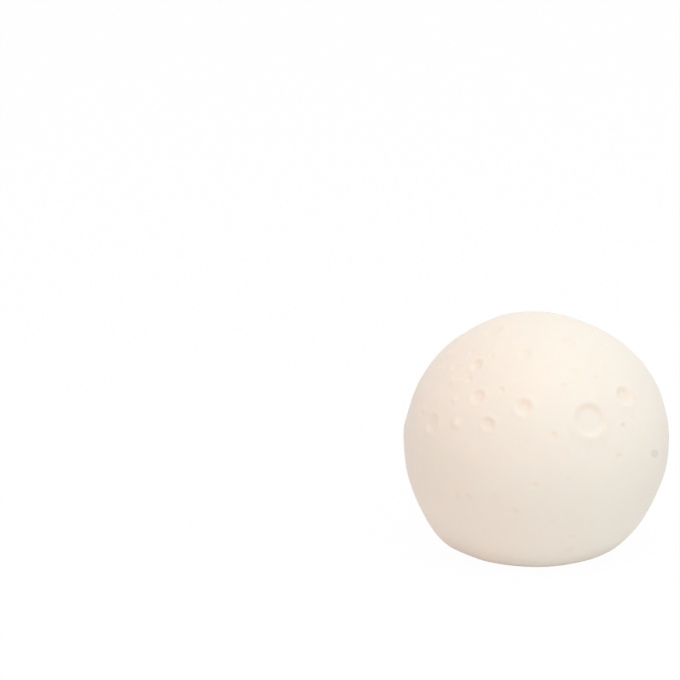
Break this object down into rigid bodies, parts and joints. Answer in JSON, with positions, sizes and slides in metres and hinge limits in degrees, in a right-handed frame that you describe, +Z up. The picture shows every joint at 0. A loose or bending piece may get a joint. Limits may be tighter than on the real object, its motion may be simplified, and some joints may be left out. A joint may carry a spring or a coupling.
{
  "type": "moon lamp",
  "caption": "Battery moon lamp: soft hollow ball with craters on a snap-in light module with LED, slide switch, button cells and a screwed battery door.",
  "frame": {"origin": "middle of the flat resting ring, on the table", "axes": "+Z up through the middle of the ball, -Y to the front, where the widest crater and the switch are"},
  "size_m": [0.1, 0.1, 0.09],
  "materials": {
    "vinyl": "soft, slightly translucent matte vinyl",
    "housing_plastic": "fine satin moulded ABS",
    "door_plastic": "fine satin moulded ABS",
    "knob_plastic": "satin moulded acetal",
    "screw_steel": "zinc-plated",
    "contact_nickel": "nickel-plated spring sheet",
    "tinned_wire": "tinned",
    "cell_steel": "bright nickel-plated can",
    "board": "green solder mask",
    "led_epoxy": "clear epoxy over warm phosphor",
    "resistor_paint": "lacquered",
    "switch_plastic": "moulded",
    "switch_shell": "tin-plated folded sheet"
  },
  "bodies": {
    "lamp": {"moon_shade": "vinyl", "base_housing": "housing_plastic", "housing_cover": "housing_plastic", "cover_screws": "screw_steel", "circuit_board": "board", "board_screws": "screw_steel", "led_lens": "led_epoxy", "led_leads": "tinned_wire", "resistor_body": "resistor_paint", "resistor_leads": "tinned_wire", "switch_case": "switch_shell", "switch_terminals": "tinned_wire", "button_cell_1": "cell_steel", "button_cell_2": "cell_steel", "button_cell_3": "cell_steel", "contact_negative": "contact_nickel", "contact_bridge": "contact_nickel", "contact_positive": "contact_nickel"},
    "switch_slider": {"switch_lever": "switch_plastic", "switch_knob": "knob_plastic"},
    "battery_door": {"battery_door": "door_plastic", "door_contact": "contact_nickel"},
    "door_screw": {"door_screw": "screw_steel", "screw_retainer": "screw_steel"}
  },
  "joints": [
    {"name": "switch_slide", "type": "slide", "parent": "lamp", "child": "switch_slider", "axis": [1, 0, 0], "range_m": [0, 0.002]},
    {"name": "battery_door_lift", "type": "slide", "parent": "lamp", "child": "battery_door", "axis": [0, 0, -1], "range_m": [0, 0.02]},
    {"name": "door_screw_turn", "type": "hinge", "parent": "battery_door", "child": "door_screw", "pos_m": [0, 0, 0.001], "axis": [0, 0, -1], "continuous": true}
  ]
}
